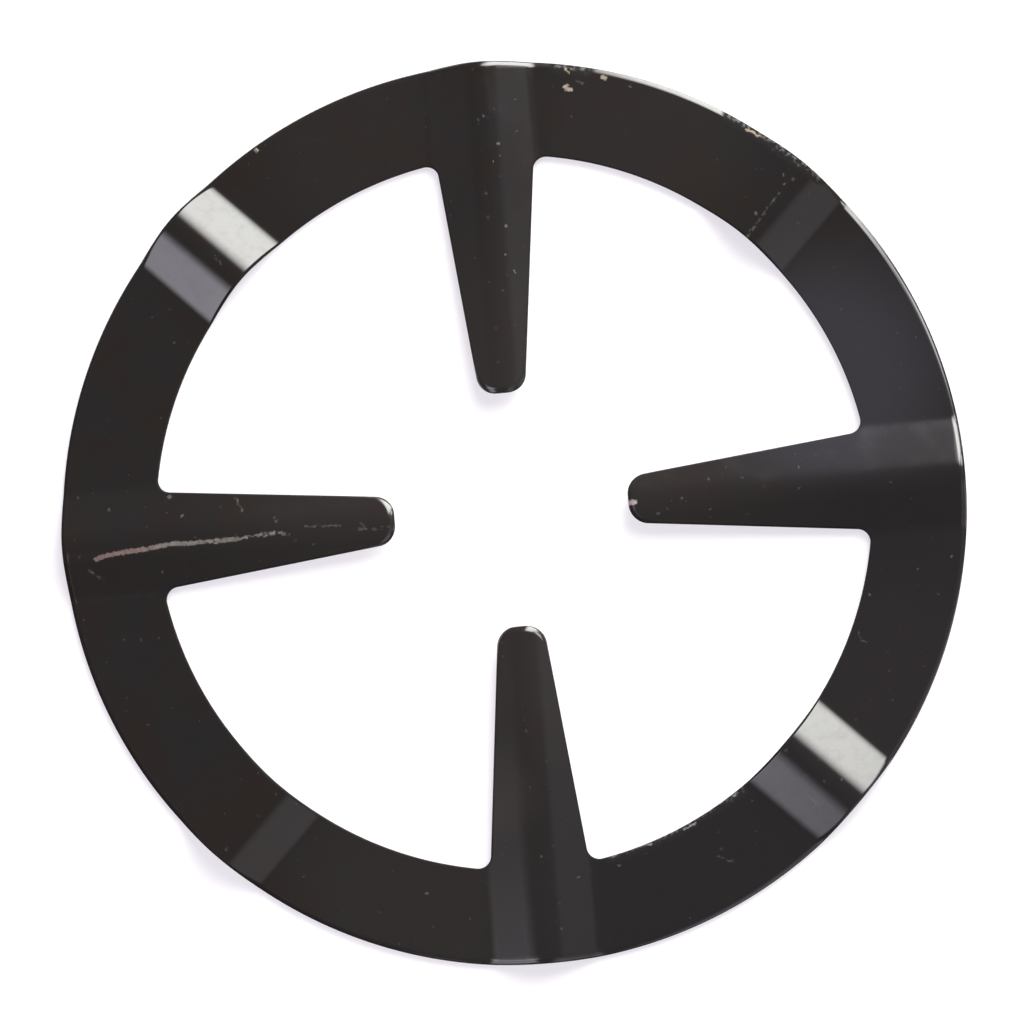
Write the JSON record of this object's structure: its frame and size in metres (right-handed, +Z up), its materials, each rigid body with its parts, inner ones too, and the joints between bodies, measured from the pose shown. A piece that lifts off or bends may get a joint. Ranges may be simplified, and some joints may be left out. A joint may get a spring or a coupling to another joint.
{
  "type": "hob pan support",
  "caption": "Round pan support for one gas hob burner: a pressed, black-enamelled sheet ring with tapered fingers pointing inward and raised ridges that carry the pan.",
  "frame": {"origin": "centre of the ring, on the hob surface that the level parts of the ring rest on", "axes": "+Z up from the hob to the pan, fingers along +X, +Y, -X and -Y"},
  "size_m": [0.22, 0.22, 0.0056],
  "materials": {
    "black_enamel": "glossy vitreous enamel, chipped and scratched"
  },
  "bodies": {
    "root": {"pan_support": "black_enamel"}
  },
  "joints": []
}
